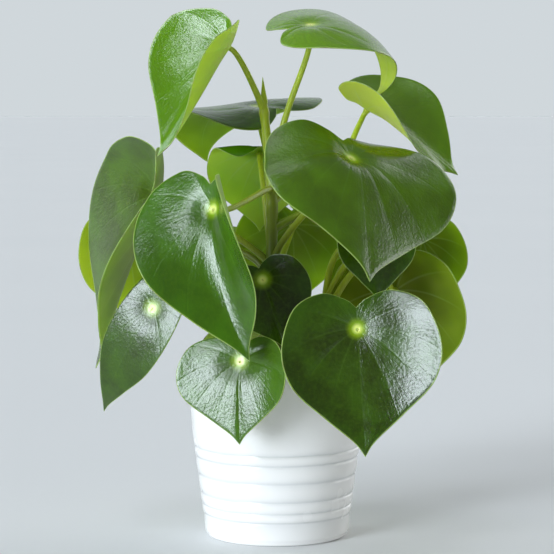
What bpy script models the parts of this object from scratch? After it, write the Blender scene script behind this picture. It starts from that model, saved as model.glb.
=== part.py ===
"""A potted peperomia: a ribbed white ceramic pot, its soil, and a bushy plant whose thick heart-shaped
blades each sit on a long petiole that meets the blade inside its outline. Metres, +Z up, -Y is the front.
The origin is the middle of the pot's flat foot, on the surface that the pot stands on."""

import math
from dataclasses import dataclass

import bmesh
import bpy
import numpy as np
from mathutils import Vector

# Driving dimensions of the pot.
POT_HEIGHT = 0.109
POT_RIM_RADIUS = 0.056
POT_FOOT_RADIUS = 0.0437
POT_WALL = 0.0038
POT_FLOOR = 0.006
POT_SEGMENTS = 40
FOOT_ROUNDING = 0.0025
# The turned grooves round the pot's lower half, by height, and how far the bands between them swell out.
GROOVE_HEIGHTS = (0.0145, 0.0201, 0.0273, 0.0389, 0.0500, 0.0562)
GROOVE_BOTTOM_AT_FOOT = 0.0431
GROOVE_BOTTOM_SLOPE = 0.130
GROOVE_HALF_WIDTH = 0.0006
BAND_SWELL = 0.0011

# Driving dimensions of the soil.
SOIL_TOP = 0.0985
SOIL_GAP = 0.0003
SOIL_MOUND = 0.004
SOIL_RINGS = 6
SOIL_SPOKES = 30

# Driving dimensions of the plant.
BLADE_THICKNESS = 0.0013
BLADE_SPOKES = 26
BLADE_RINGS = (0.38, 0.72, 1.0)
ARC_STEPS = 24
FOLD_SHARE = 0.2
PETIOLE_GAP = 0.0003
PETIOLE_TOP_RADIUS = 0.0016
PETIOLE_END_RADIUS = 0.0012
PETIOLE_FOOT_RADIUS = 0.0022
PETIOLE_NECK = 0.003
PETIOLE_POINTS = 11
STEM_ROOT_DEPTH = 0.026
STEM_HOLE_CLEARANCE = 0.0004

GREEN_UPPER = (0.045, 0.155, 0.018)
GREEN_STEM = (0.20, 0.33, 0.05)
WHITE_GLAZE = (0.86, 0.86, 0.85)
DARK_SOIL = (0.035, 0.018, 0.011)


@dataclass
class Stem:
    """A fleshy stem through the given points, from below the soil to its top."""

    points: tuple
    foot_radius: float
    top_radius: float


@dataclass
class Leaf:
    """One blade and its petiole. Directions are at the spot, where the petiole meets the blade's underside.
    Left and right are as seen on the upper side with the tip pointing down."""

    name: str
    spot: tuple
    tip_way: tuple
    face_way: tuple
    reach: float
    half_width: float
    stem: str
    height: float
    arch: float = 30.0
    hook: float = 0.0
    arch_back: float = 15.0
    fold: float = 0.0
    cup_left: float = 10.0
    cup_right: float = 10.0
    twist: float = 0.0
    sweep: float = 0.0
    knee: float = 0.0
    lean: float = 0.0
    uneven: float = 0.0
    lobes: float = 1.0
    right_lobe: float = 1.0
    rise: float = 0.35
    via: tuple = ()


STEMS = {
    "main": Stem(
        ((0.001, 0.004, SOIL_TOP), (-0.003, 0.002, 0.150), (-0.0035, 0.0, 0.215), (-0.0085, 0.0, 0.268)),
        0.0042,
        0.0026,
    ),
    "right": Stem(
        ((0.024, 0.012, SOIL_TOP), (0.027, 0.010, 0.120), (0.029, 0.012, 0.140)),
        0.0036,
        0.0024,
    ),
}

BUD_STEM = "main"
BUD_LINE = ((-0.0082, 0.0, 0.262), (-0.0081, 0.0, 0.269), (-0.0084, 0.0, 0.276), (-0.0088, 0.0, 0.284))
BUD_RADIUS = 0.0025

LEAVES = (
    Leaf("leaf_upper_left", (-0.0315, -0.020, 0.303), (-0.50, -0.05, -0.86), (-0.80, -0.56, 0.10),
         0.080, 0.0425, "main", 0.262, fold=30, cup_left=15, cup_right=35, arch=-22, arch_back=-30, sweep=-22,
         lobes=0.85, rise=0.03),
    Leaf("leaf_top", (0.0205, -0.008, 0.3165), (0.92, 0.25, 0.10), (-0.10, -0.33, 0.94),
         0.090, 0.042, "main", 0.205, arch=115, hook=42, arch_back=28, cup_left=-12, cup_right=-8, lobes=0.95,
         rise=0.5),
    Leaf("leaf_front_right", (0.0445, -0.060, 0.237), (0.32, -0.72, -0.58), (0.47, -0.49, 0.73),
         0.083, 0.065, "main", 0.165, arch=5, arch_back=4, cup_left=-36, cup_right=2, twist=12, knee=27,
         lean=-24, uneven=-0.09, lobes=1.12, rise=0.2),
    Leaf("leaf_upper_right", (0.0575, 0.022, 0.2655), (0.84, 0.00, -0.54), (0.58, -0.13, 0.80),
         0.070, 0.050, "main", 0.190, fold=20, cup_left=0, cup_right=10, arch=12, arch_back=35, twist=-33,
         lobes=0.95, via=((0.036, 0.008, 0.214), (0.047, 0.014, 0.245))),
    Leaf("leaf_back_high", (-0.012, 0.040, 0.267), (-0.75, 0.62, 0.10), (0.08, -0.32, 0.94),
         0.078, 0.057, "main", 0.214, arch=85, hook=45, arch_back=22, cup_left=-15, cup_right=8, twist=-20,
         lobes=1.15),
    Leaf("leaf_back_centre", (-0.011, 0.043, 0.236), (0.00, 0.15, -0.99), (0.00, 0.97, 0.15),
         0.050, 0.033, "main", 0.150, arch=5, arch_back=140, cup_left=-5, cup_right=-5, lobes=1.25),
    Leaf("leaf_left", (-0.0750, 0.004, 0.2115), (-0.36, 0.10, -0.92), (-0.85, -0.40, 0.34),
         0.117, 0.060, "main", 0.166, fold=25, cup_left=-2, cup_right=8, arch=5, arch_back=-42, twist=-20,
         lobes=1.15, rise=0.1),
    Leaf("leaf_left_back", (-0.0978, 0.074, 0.1846), (0.10, 0.20, -0.97), (-0.44, 0.84, 0.30),
         0.066, 0.036, "main", 0.150, arch=10, arch_back=10, cup_left=-10, cup_right=-10),
    Leaf("leaf_low_left", (-0.0759, -0.030, 0.144), (-0.53, 0.09, -0.84), (-0.35, -0.93, 0.10),
         0.083, 0.0195, "main", 0.125, arch=45, arch_back=15, cup_left=0, cup_right=0, uneven=-0.05),
    Leaf("leaf_front_left", (-0.0384, -0.069, 0.2062), (0.03, -0.24, -0.97), (-0.62, -0.74, 0.25),
         0.092, 0.0455, "main", 0.214, fold=20, cup_left=8, cup_right=55, arch=20, arch_back=-10, twist=40,
         sweep=-18, uneven=0.04, lobes=0.95, right_lobe=0.3, rise=0.08),
    Leaf("leaf_low_right", (0.0466, -0.090, 0.1375), (0.06, -0.14, -0.98), (-0.06, -0.97, 0.20),
         0.074, 0.0475, "right", 0.125, arch=-6, arch_back=8, cup_left=36, cup_right=24, uneven=-0.03),
    Leaf("leaf_right_back", (0.075, 0.020, 0.151), (0.12, 0.15, -0.98), (0.35, 0.90, 0.20),
         0.076, 0.045, "right", 0.130, arch=10, arch_back=10, cup_left=-10, cup_right=-10, lobes=1.2,
         via=((0.039, 0.005, 0.152), (0.050, 0.003, 0.166), (0.063, 0.003, 0.168))),
    Leaf("leaf_right_high", (0.0935, 0.040, 0.1825), (0.25, 0.20, -0.94), (0.40, 0.85, 0.30),
         0.050, 0.028, "right", 0.135, arch=10, arch_back=10, cup_left=-10, cup_right=-10,
         via=((0.036, 0.012, 0.172), (0.062, 0.020, 0.194))),
    Leaf("leaf_inner_right", (0.060, -0.020, 0.192), (0.04, -0.20, -0.97), (0.10, -0.95, 0.20),
         0.045, 0.024, "right", 0.130, arch=10, arch_back=10, cup_left=10, cup_right=10),
    Leaf("leaf_back_low_right", (0.0578, 0.050, 0.1600), (0.00, 0.25, -0.97), (0.00, 0.95, 0.25),
         0.044, 0.026, "right", 0.125, arch=10, arch_back=10, cup_left=-10, cup_right=-10,
         via=((0.029, 0.030, 0.142), (0.043, 0.045, 0.158))),
    Leaf("leaf_inner_front", (-0.0088, -0.030, 0.1615), (0.30, -0.25, -0.90), (-0.05, -0.90, 0.35),
         0.044, 0.027, "main", 0.150, arch=10, arch_back=10, cup_left=5, cup_right=5),
    Leaf("leaf_low_front", (-0.0221, -0.070, 0.1164), (-0.02, -0.20, -0.97), (-0.30, -0.92, 0.20),
         0.049, 0.0352, "main", 0.118, arch=10, arch_back=10, cup_left=5, cup_right=32, uneven=0.09),
    Leaf("leaf_back_middle", (0.010, 0.064, 0.190), (0.05, 0.25, -0.97), (0.00, 0.95, 0.30),
         0.056, 0.038, "main", 0.140, arch=10, arch_back=10, cup_left=-10, cup_right=-10),
    Leaf("leaf_behind_right", (0.040, 0.062, 0.215), (0.25, 0.75, -0.60), (0.20, 0.55, 0.80),
         0.058, 0.038, "main", 0.200, arch=35, arch_back=10, cup_left=-10, cup_right=-10),
    Leaf("leaf_behind_left", (-0.023, 0.089, 0.180), (-0.15, 0.75, -0.62), (-0.15, 0.60, 0.76),
         0.056, 0.036, "main", 0.145, arch=30, arch_back=10, cup_left=-10, cup_right=-10,
         via=((-0.027, 0.033, 0.152), (-0.034, 0.066, 0.165))),
    Leaf("leaf_behind_low", (0.008, 0.088, 0.126), (0.05, 0.60, -0.80), (0.00, 0.80, 0.60),
         0.050, 0.036, "main", 0.125, arch=20, arch_back=10, cup_left=-10, cup_right=-10),
    Leaf("leaf_behind_low_right", (0.066, 0.080, 0.128), (0.40, 0.60, -0.70), (0.30, 0.60, 0.70),
         0.054, 0.035, "right", 0.120, arch=20, arch_back=10, cup_left=-10, cup_right=-10,
         via=((0.027, 0.035, 0.124), (0.045, 0.062, 0.130))),
    Leaf("leaf_behind_low_left", (-0.022, 0.073, 0.118), (-0.20, 0.65, -0.72), (-0.20, 0.60, 0.78),
         0.044, 0.028, "main", 0.116, arch=20, arch_back=10, cup_left=-10, cup_right=-10),
)

# The heart outline of the right half, from tip to notch: share of the half width, share of the reach.
OUTLINE = (
    (0.0, 1.0), (0.13, 0.885), (0.48, 0.69), (0.90, 0.44), (1.01, 0.15),
    (0.82, -0.16), (0.44, -0.285), (0.14, -0.235), (0.0, -0.165),
)


def material(name, colour, roughness):
    made = bpy.data.materials.new(name)
    made.use_nodes = True
    shader = made.node_tree.nodes["Principled BSDF"]
    shader.inputs["Base Color"].default_value = (*colour, 1.0)
    shader.inputs["Roughness"].default_value = roughness
    shader.inputs["Metallic"].default_value = 0.0
    return made


def add_object(name, mesh, finish):
    made = bpy.data.objects.new(name, mesh)
    bpy.context.scene.collection.objects.link(made)
    mesh.materials.append(finish)
    return made


def spline(points, at):
    """Points of a smooth curve through the given ones, at shares of its length in steps, from 0 to 1."""
    keys = np.array(points, float)
    padded = np.vstack((2 * keys[0] - keys[1], keys, 2 * keys[-1] - keys[-2]))
    place = np.clip(np.asarray(at, float), 0, 1) * (len(keys) - 1)
    first = np.minimum(place.astype(int), len(keys) - 2)
    t = (place - first)[:, None]
    a, b, c, d = (padded[first + shift] for shift in range(4))
    return 0.5 * (2 * b + (c - a) * t + (2 * a - 5 * b + 4 * c - d) * t**2 + (3 * b - a - 3 * c + d) * t**3)


def turned(profile, segments, name):
    """A closed mesh turned round Z from a profile of (radius, height) points that starts and ends on the axis."""
    shape = bmesh.new()
    points = [shape.verts.new((radius, 0.0, height)) for radius, height in profile]
    edges = [shape.edges.new(pair) for pair in zip(points, points[1:])]
    bmesh.ops.spin(
        shape, geom=points + edges, cent=(0, 0, 0), axis=(0, 0, 1), angle=math.tau, steps=segments, use_merge=True
    )
    bmesh.ops.remove_doubles(shape, verts=shape.verts, dist=1e-6)
    bmesh.ops.recalc_face_normals(shape, faces=shape.faces)
    mesh = bpy.data.meshes.new(name)
    shape.to_mesh(mesh)
    shape.free()
    return mesh


def groove_bottom(height):
    return GROOVE_BOTTOM_AT_FOOT + GROOVE_BOTTOM_SLOPE * height


def band(low, high):
    """The swelling outer face between two grooves, fullest a little above its middle."""
    inset = GROOVE_HALF_WIDTH
    span = high - low
    shares = (0.0, 0.3, 0.65, 1.0)
    swells = (0.45, 0.9, 1.0, 0.5)
    for share, swell in zip(shares, swells):
        height = low + inset + share * (span - 2 * inset)
        yield groove_bottom(height) + BAND_SWELL * swell, height


def pot_profile():
    """Outside from the foot to the rim, then down the inside wall to the floor."""
    foot = POT_FOOT_RADIUS
    rounding = FOOT_ROUNDING
    profile = [(0.0, 0.0), (foot - rounding, 0.0)]
    profile += [(foot - 0.3 * rounding, 0.3 * rounding), (foot, rounding)]
    profile += [(groove_bottom(0.0085) + BAND_SWELL, 0.0085)]
    last = GROOVE_HEIGHTS[0]
    profile += [(groove_bottom(last) + 0.6 * BAND_SWELL, last - GROOVE_HALF_WIDTH)]
    for low, high in zip(GROOVE_HEIGHTS, GROOVE_HEIGHTS[1:]):
        profile.append((groove_bottom(low), low))
        profile += band(low, high)
    top_groove = GROOVE_HEIGHTS[-1]
    profile.append((groove_bottom(top_groove), top_groove))
    profile.append((groove_bottom(top_groove) + 0.6 * BAND_SWELL, top_groove + GROOVE_HALF_WIDTH))
    body_foot = top_groove + 0.004
    profile.append((groove_bottom(body_foot) + BAND_SWELL, body_foot))
    rim, wall = POT_RIM_RADIUS, POT_WALL
    profile += [(rim - 0.0008, POT_HEIGHT - 0.010), (rim, POT_HEIGHT - 0.0015)]
    profile += [(rim - 0.0009, POT_HEIGHT - 0.0002), (rim - 0.5 * wall, POT_HEIGHT)]
    profile += [(rim - wall + 0.0006, POT_HEIGHT - 0.0005), (rim - wall, POT_HEIGHT - 0.002)]
    profile += [(inner_radius(POT_FLOOR + 0.004), POT_FLOOR + 0.004)]
    profile += [(inner_radius(POT_FLOOR) - 0.003, POT_FLOOR), (0.0, POT_FLOOR)]
    return profile


def inner_radius(height):
    """The inside wall is a plain cone from the rim to the floor."""
    top = POT_RIM_RADIUS - POT_WALL
    bottom = POT_FOOT_RADIUS - POT_WALL
    share = (height - POT_FLOOR) / (POT_HEIGHT - 0.002 - POT_FLOOR)
    return bottom + (top - bottom) * share


def soil_height(x, y):
    """The gently mounded and lumpy top of the soil."""
    reach = math.hypot(x, y) / inner_radius(SOIL_TOP)
    mound = SOIL_MOUND * (1 - reach**2)
    lumps = 0.0009 * math.sin(260 * x + 1.3) * math.cos(230 * y + 0.4)
    return SOIL_TOP - SOIL_MOUND + mound + lumps


def build_soil(finish):
    """A plug that fills the pot to just below its rim, with a plain hole for each stem."""
    shape = bmesh.new()
    rings = []
    edge = inner_radius(SOIL_TOP - SOIL_MOUND) - SOIL_GAP - 0.0003
    for ring in range(1, SOIL_RINGS + 1):
        radius = edge * ring / SOIL_RINGS
        angles = [math.tau * spoke / SOIL_SPOKES for spoke in range(SOIL_SPOKES)]
        spots = [(radius * math.cos(angle), radius * math.sin(angle)) for angle in angles]
        rings.append([shape.verts.new((x, y, soil_height(x, y))) for x, y in spots])
    middle = shape.verts.new((0, 0, soil_height(0, 0)))
    floor = POT_FLOOR + SOIL_GAP
    corner = floor + 0.0045
    for height, radius in ((corner, inner_radius(corner) - 0.0007), (floor, inner_radius(floor) - 0.0045)):
        spots = [(radius * math.cos(angle), radius * math.sin(angle)) for angle in angles]
        rings.append([shape.verts.new((x, y, height)) for x, y in spots])
    for spoke in range(SOIL_SPOKES):
        following = (spoke + 1) % SOIL_SPOKES
        shape.faces.new((middle, rings[0][spoke], rings[0][following]))
        for inner, outer in zip(rings, rings[1:]):
            shape.faces.new((inner[spoke], outer[spoke], outer[following], inner[following]))
    shape.faces.new(list(reversed(rings[-1])))
    bmesh.ops.recalc_face_normals(shape, faces=shape.faces)
    mesh = bpy.data.meshes.new("soil")
    shape.to_mesh(mesh)
    shape.free()
    soil = add_object("soil", mesh, finish)
    for name, stem in STEMS.items():
        add_stem_hole(soil, name, stem)
    return soil


def add_stem_hole(soil, name, stem):
    x, y, _ = stem.points[0]
    depth = STEM_ROOT_DEPTH + STEM_HOLE_CLEARANCE
    height = depth + 0.020
    bpy.ops.mesh.primitive_cylinder_add(
        vertices=16,
        radius=stem.foot_radius + STEM_HOLE_CLEARANCE + 0.0002,
        depth=height,
        location=(x, y, SOIL_TOP - depth + height / 2),
    )
    cutter = bpy.context.object
    cutter.name = f"hole_for_{name}_stem"
    cutter.hide_render = True
    cutter.display_type = "WIRE"
    cut = soil.modifiers.new(f"hole for {name} stem", "BOOLEAN")
    cut.operation = "DIFFERENCE"
    cut.solver = "EXACT"
    cut.object = cutter


def smooth_step(low, high, value):
    share = np.clip((value - low) / (high - low), 0, 1)
    return share * share * (3 - 2 * share)


def outline(leaf, spokes):
    """Points all round the blade's flat heart outline, in metres from its spot."""
    half = spokes // 2
    one_side = spline(OUTLINE, np.linspace(0, 1, half + 1))
    other_side = one_side[1:-1][::-1] * (-1, 1)
    x, y = np.vstack((one_side, other_side)).T
    y = np.where(y < 0, y * leaf.lobes, y)
    notch = OUTLINE[-1][1] * leaf.lobes
    y = np.where((x < 0) & (y < notch), notch + (y - notch) * leaf.right_lobe, y)
    x = x * (1 + leaf.uneven * np.sign(x))
    return np.stack((x * leaf.half_width, y * leaf.reach), -1)


def walk(distance, turn):
    """How far along and how far up a line goes that turns by turn(distance) degrees, kept at its true length."""
    shares = (np.arange(ARC_STEPS) + 0.5) / ARC_STEPS
    angles = np.radians(turn(distance[..., None] * shares))
    return distance * np.cos(angles).mean(-1), distance * np.sin(angles).mean(-1)


def axes_of(leaf):
    """The blade's own axes at the spot: to its left half, to its tip, and out of its upper side."""
    along = Vector(leaf.tip_way).normalized()
    face = Vector(leaf.face_way)
    face = (face - face.dot(along) * along).normalized()
    return np.array((along.cross(face), along, face))


def bent(leaf, x, y):
    """Where the flat blade's points (x across, y towards the tip, in metres) lie once it arches, cups and twists."""

    back = leaf.arch_back + leaf.lean * np.tanh(x / (0.3 * leaf.half_width))

    def along_turn(distance):
        share = np.abs(distance / leaf.reach)
        towards_tip = -leaf.arch * share**1.4 - leaf.hook * share**4 - leaf.knee * smooth_step(0, 0.3, share)
        bend = back if np.ndim(distance) == np.ndim(back) else back[..., None]
        return np.where(distance > 0, towards_tip, bend * share / 0.285)

    def across_turn(distance):
        share = np.abs(distance / leaf.half_width)
        cup = np.where(distance > 0, leaf.cup_left, leaf.cup_right)
        return np.sign(distance) * (leaf.fold * np.minimum(share / FOLD_SHARE, 1) + cup * share)

    ahead, lift = walk(y, along_turn)
    tangent = np.radians(along_turn(y))
    aside, rise = walk(x, across_turn)
    roll = np.radians(leaf.twist * y / leaf.reach)
    side = aside * np.cos(roll) - rise * np.sin(roll)
    out = aside * np.sin(roll) + rise * np.cos(roll)
    side = side + 0.5 * leaf.reach * math.radians(leaf.sweep) * (y / leaf.reach) ** 2
    local = np.stack((side, ahead - out * np.sin(tangent), lift + out * np.cos(tangent)), -1)
    return local @ axes_of(leaf) + np.array(leaf.spot)


def normals(leaf, x, y):
    """The way the bent blade's upper side looks at each point."""
    step = 1e-5
    across = bent(leaf, x + step, y) - bent(leaf, x - step, y)
    along = bent(leaf, x, y + step) - bent(leaf, x, y - step)
    found = np.cross(across, along)
    return found / np.linalg.norm(found, axis=-1, keepdims=True)


def build_blade(leaf, finish):
    """The blade as one closed sheet of even thickness, split into triangles alike on both faces."""
    edge = outline(leaf, BLADE_SPOKES)
    flat = np.vstack([np.zeros((1, 2))] + [edge * ring for ring in BLADE_RINGS])
    middle = bent(leaf, flat[:, 0], flat[:, 1])
    offset = normals(leaf, flat[:, 0], flat[:, 1]) * BLADE_THICKNESS / 2
    count = len(flat)
    triangles = []
    for spoke in range(BLADE_SPOKES):
        following = (spoke + 1) % BLADE_SPOKES
        triangles.append((0, 1 + spoke, 1 + following))
        for ring in range(len(BLADE_RINGS) - 1):
            inner, outer = 1 + ring * BLADE_SPOKES, 1 + (ring + 1) * BLADE_SPOKES
            triangles.append((inner + spoke, outer + spoke, outer + following))
            triangles.append((inner + spoke, outer + following, inner + following))
    rim = 1 + (len(BLADE_RINGS) - 1) * BLADE_SPOKES
    faces = [tuple(reversed(face)) for face in triangles]
    faces += [tuple(corner + count for corner in face) for face in triangles]
    for spoke in range(BLADE_SPOKES):
        a, b = rim + spoke, rim + (spoke + 1) % BLADE_SPOKES
        faces += [(a, b, b + count), (a, b + count, a + count)]
    mesh = bpy.data.meshes.new(leaf.name)
    mesh.from_pydata(np.vstack((middle - offset, middle + offset)).tolist(), [], faces)
    shape = bmesh.new()
    shape.from_mesh(mesh)
    bmesh.ops.recalc_face_normals(shape, faces=shape.faces)
    shape.to_mesh(mesh)
    shape.free()
    blade = add_object(leaf.name, mesh, finish)
    mesh.shade_smooth()
    mesh.set_sharp_from_angle(angle=math.radians(60))
    return blade


def stem_point(stem, height):
    """The point of a stem's middle line at a height above the surface."""
    line = spline(stem.points, np.linspace(0, 1, 60))
    return np.array([np.interp(height, line[:, 2], line[:, axis]) for axis in range(3)])


def sag(leaf):
    """How far the blade has already curved down towards its petiole at the petiole's edge."""
    ring = outline(leaf, BLADE_SPOKES) * BLADE_RINGS[0]
    away = bent(leaf, ring[:, 0], ring[:, 1]) - np.array(leaf.spot)
    slopes = -(away @ axes_of(leaf)[2]) / np.linalg.norm(away, axis=1)
    return max(0.0, slopes.max()) * PETIOLE_END_RADIUS


def petiole_line(leaf):
    """From inside the stem, up and out in one bow, to just under the blade's spot."""
    start = stem_point(STEMS[leaf.stem], leaf.height)
    under = -axes_of(leaf)[2]
    end = np.array(leaf.spot) + under * (BLADE_THICKNESS / 2 + PETIOLE_GAP + sag(leaf))
    if leaf.via:
        line = spline((start, *leaf.via, end + under * PETIOLE_NECK), np.linspace(0, 1, PETIOLE_POINTS - 1))
        return np.vstack((line, end))
    last = end + under * PETIOLE_NECK
    span = np.linalg.norm(last - start)
    bow = start + np.array((0, 0, 1.0)) * span * leaf.rise
    turn = last + under * span * 0.2
    t = np.linspace(0, 1, PETIOLE_POINTS - 1)[:, None]
    line = (1 - t) ** 3 * start + 3 * (1 - t) ** 2 * t * bow + 3 * (1 - t) * t**2 * turn + t**3 * last
    return np.vstack((line, end))


def add_tube(name, line, radii, sides):
    """A closed round tube along a line, as a mesh object."""
    curve = bpy.data.curves.new(name, "CURVE")
    curve.dimensions = "3D"
    curve.bevel_depth = 1.0
    curve.bevel_resolution = (sides - 4) // 2
    curve.use_fill_caps = True
    run = curve.splines.new("POLY")
    run.points.add(len(line) - 1)
    for point, place, radius in zip(run.points, line, radii):
        point.co = (*place, 1.0)
        point.radius = radius
    guide = bpy.data.objects.new(f"{name}_line", curve)
    bpy.context.scene.collection.objects.link(guide)
    bpy.context.view_layer.update()
    mesh = bpy.data.meshes.new_from_object(guide.evaluated_get(bpy.context.evaluated_depsgraph_get()))
    bpy.data.objects.remove(guide)
    shape = bmesh.new()
    shape.from_mesh(mesh)
    bmesh.ops.remove_doubles(shape, verts=shape.verts, dist=1e-6)
    bmesh.ops.recalc_face_normals(shape, faces=shape.faces)
    shape.to_mesh(mesh)
    shape.free()
    made = bpy.data.objects.new(name, mesh)
    bpy.context.scene.collection.objects.link(made)
    return made


def stem_tube(name, stem):
    """The stem with its root end in the soil and a slight swelling at each leaf's node."""
    x, y, _ = stem.points[0]
    root = (x, y, SOIL_TOP - STEM_ROOT_DEPTH)
    shares = np.linspace(0, 1, 18)
    line = np.vstack((root, spline(stem.points, shares)))
    nodes = [leaf.height for leaf in LEAVES if leaf.stem == name]
    radii = [stem.foot_radius * 0.8]
    for share, place in zip(shares, line[1:]):
        near = min((abs(place[2] - node) for node in nodes), default=1.0)
        swelling = 0.0005 * math.exp(-((near / 0.004) ** 2))
        radii.append(stem.foot_radius + (stem.top_radius - stem.foot_radius) * share + swelling)
    return add_tube(f"{name}_stem", line, radii, 8)


def bud_radii(count):
    """The bud swells from the stem's end and closes to a point."""
    shares = np.linspace(0, 1, count)
    return np.interp(shares, (0, 0.35, 0.7, 1.0), (0.6 * BUD_RADIUS, BUD_RADIUS, 0.75 * BUD_RADIUS, 0.2 * BUD_RADIUS))


def build_stems(finish):
    """Each stem with its petioles as one body, as they grew, and the main stem with the bud at its top."""
    for name, stem in STEMS.items():
        tubes = [stem_tube(name, stem)]
        if name == BUD_STEM:
            tubes.append(add_tube("bud", spline(BUD_LINE, np.linspace(0, 1, 9)), bud_radii(9), 8))
        for leaf in LEAVES:
            if leaf.stem == name:
                line = petiole_line(leaf)
                radii = np.linspace(PETIOLE_FOOT_RADIUS, PETIOLE_TOP_RADIUS, len(line))
                radii[-1] = PETIOLE_END_RADIUS
                tubes.append(add_tube(f"petiole_{leaf.name}", line, radii, 6))
        join(f"stem_{name}", tubes, finish)


def join(name, tubes, finish):
    """One solid from overlapping ones, by one Boolean union on a collection of them."""
    first, others = tubes[0], tubes[1:]
    group = bpy.data.collections.new(f"pieces of {name}")
    bpy.context.scene.collection.children.link(group)
    for tube in others:
        group.objects.link(tube)
    union = first.modifiers.new("union", "BOOLEAN")
    union.operation = "UNION"
    union.operand_type = "COLLECTION"
    union.solver = "MANIFOLD"
    union.collection = group
    bpy.context.view_layer.update()
    mesh = bpy.data.meshes.new_from_object(first.evaluated_get(bpy.context.evaluated_depsgraph_get()))
    for tube in tubes:
        bpy.data.objects.remove(tube)
    bpy.data.collections.remove(group)
    mesh.name = name
    mesh.shade_smooth()
    return add_object(name, mesh, finish)


def clear_scene():
    for old in list(bpy.data.objects):
        bpy.data.objects.remove(old)


def main():
    clear_scene()
    glaze = material("white glaze", WHITE_GLAZE, 0.25)
    earth = material("potting soil", DARK_SOIL, 0.95)
    stalk = material("stem green", GREEN_STEM, 0.4)
    blade = material("leaf green", GREEN_UPPER, 0.28)
    pot = add_object("pot", turned(pot_profile(), POT_SEGMENTS, "pot"), glaze)
    pot.data.shade_smooth()
    pot.data.set_sharp_from_angle(angle=math.radians(40))
    build_soil(earth)
    build_stems(stalk)
    for leaf in LEAVES:
        build_blade(leaf, blade)


main()
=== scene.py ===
"""The looks of a potted peperomia: fine blades, petioles, soil and a glazed pot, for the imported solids.
Metres, +Z up, -Y is the front. The numbers that place and bend each leaf are those of the construction."""

import math
from dataclasses import dataclass

import bpy
import numpy as np
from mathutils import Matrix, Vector


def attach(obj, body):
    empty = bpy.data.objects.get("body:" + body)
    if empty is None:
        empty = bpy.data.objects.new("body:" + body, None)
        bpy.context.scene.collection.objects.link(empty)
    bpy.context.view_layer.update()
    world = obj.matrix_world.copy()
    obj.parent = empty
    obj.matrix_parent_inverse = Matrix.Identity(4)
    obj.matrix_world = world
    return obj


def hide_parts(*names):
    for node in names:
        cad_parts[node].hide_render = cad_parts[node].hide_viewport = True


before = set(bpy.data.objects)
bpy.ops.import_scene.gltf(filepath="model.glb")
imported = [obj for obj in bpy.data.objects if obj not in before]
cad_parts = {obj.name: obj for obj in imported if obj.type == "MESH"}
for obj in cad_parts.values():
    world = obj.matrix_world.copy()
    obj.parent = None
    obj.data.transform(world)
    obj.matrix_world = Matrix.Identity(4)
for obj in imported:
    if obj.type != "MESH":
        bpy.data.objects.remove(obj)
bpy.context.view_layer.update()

# The camera, at the photograph's viewing angle. The picture is 554 pixels wide.
PICTURE_WIDTH = 554
FOCAL_PIXELS = 2211
SENSOR_WIDTH = 36.0
CAMERA_PLACE = (0.0, -1.365, 0.2657)
CAMERA_PITCH = -4.4

# The room round the plant, as it lights it. A window has its middle and half size in degrees of azimuth
# (from the front towards +X) and elevation, its brightness and its tint.
ROOM_FRONT = (0.16, 0.16, 0.14)
ROOM_BACK = (0.63, 0.68, 0.71)
ROOM_TOP = (0.18, 0.19, 0.20)
CEILING = (1.5, 1.55, 1.6)
WINDOWS = (
    ((-43.0, 8.0), (12.5, 13.0), 13.5, (0.90, 1.0, 1.08)),
    ((-35.0, 33.0), (8.5, 7.0), 9.0, (0.92, 1.0, 1.08)),
    ((-27.0, 66.0), (12.0, 7.0), 4.5, (0.92, 1.0, 1.08)),
    ((-124.0, 36.0), (13.0, 12.0), 2.6, (0.85, 0.98, 1.08)),
    ((-108.0, 6.0), (14.0, 16.0), 0.7, (0.94, 1.0, 1.04)),
    ((101.0, 6.0), (9.0, 10.0), 2.8, (0.98, 1.0, 1.0)),
    ((136.0, 16.0), (20.0, 22.0), 1.5, (1.0, 1.0, 0.98)),
)
# A window is at its full brightness up to the first share of its half size and gone at the second.
WINDOW_FADE = (0.75, 1.35)
FLOOR_HALF_SIZE = 60.0

# The pot.
POT_HEIGHT = 0.109
POT_RIM_RADIUS = 0.056
POT_FOOT_RADIUS = 0.0437
POT_WALL = 0.0038
POT_FLOOR = 0.006
POT_SEGMENTS = 200
FOOT_ROUNDING = 0.0025
FOOT_STEPS = 8
GROOVE_HEIGHTS = (0.0145, 0.0201, 0.0273, 0.0389, 0.0500, 0.0562)
GROOVE_BOTTOM_AT_FOOT = 0.0431
GROOVE_BOTTOM_SLOPE = 0.130
BAND_SWELL = 0.0011
BAND_STEPS = 14
BAND_ROUNDNESS = 0.42
TOP_BAND_RISE = 0.004
TOP_BAND_STEPS = 8
BODY_STEPS = 15
RIM_TURN_STEPS = 12
INSIDE_STEPS = 12
INSIDE_TOP_DROP = 0.006
RIM_INSET = 0.002
FLOOR_CORNER = 0.003

# The soil.
SOIL_TOP = 0.0985
SOIL_MOUND = 0.004
SOIL_RINGS = 36
SOIL_SPOKES = 110
SOIL_EDGE_GAP = 0.0002
SOIL_FLOOR_GAP = 0.004
SOIL_FOOT_INSET = 0.002
LUMP_HEIGHT = 0.0009
GRAIN_HEIGHT = 0.0004
CRUMB_COUNT = 520
CRUMB_SIZES = (0.0008, 0.0026)
CRUMB_SHRINK = (0.5, 1.0)
CRUMB_SQUASH = (0.6, 1.1)
CRUMB_DENTS = (0.75, 1.15)
CRUMB_LIFT = 0.2
CRUMB_EDGE_GAP = 0.003
CRUMB_SEED = 7

# The plant.
BLADE_THICKNESS = 0.0013
EDGE_THICKNESS = 0.0006
BLADE_SPOKES = 144
BLADE_RINGS = 28
RING_CROWDING = 1.3
RIM_STEPS = 4
ARC_STEPS = 24
FOLD_SHARE = 0.2
KNEE_SHARE = 0.3
LEAN_SHARE = 0.3
EDGE_TAPER = (1.0, 0.3)
UNDER_RELIEF = 0.6
WAVE_SHARE = 0.016
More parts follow.
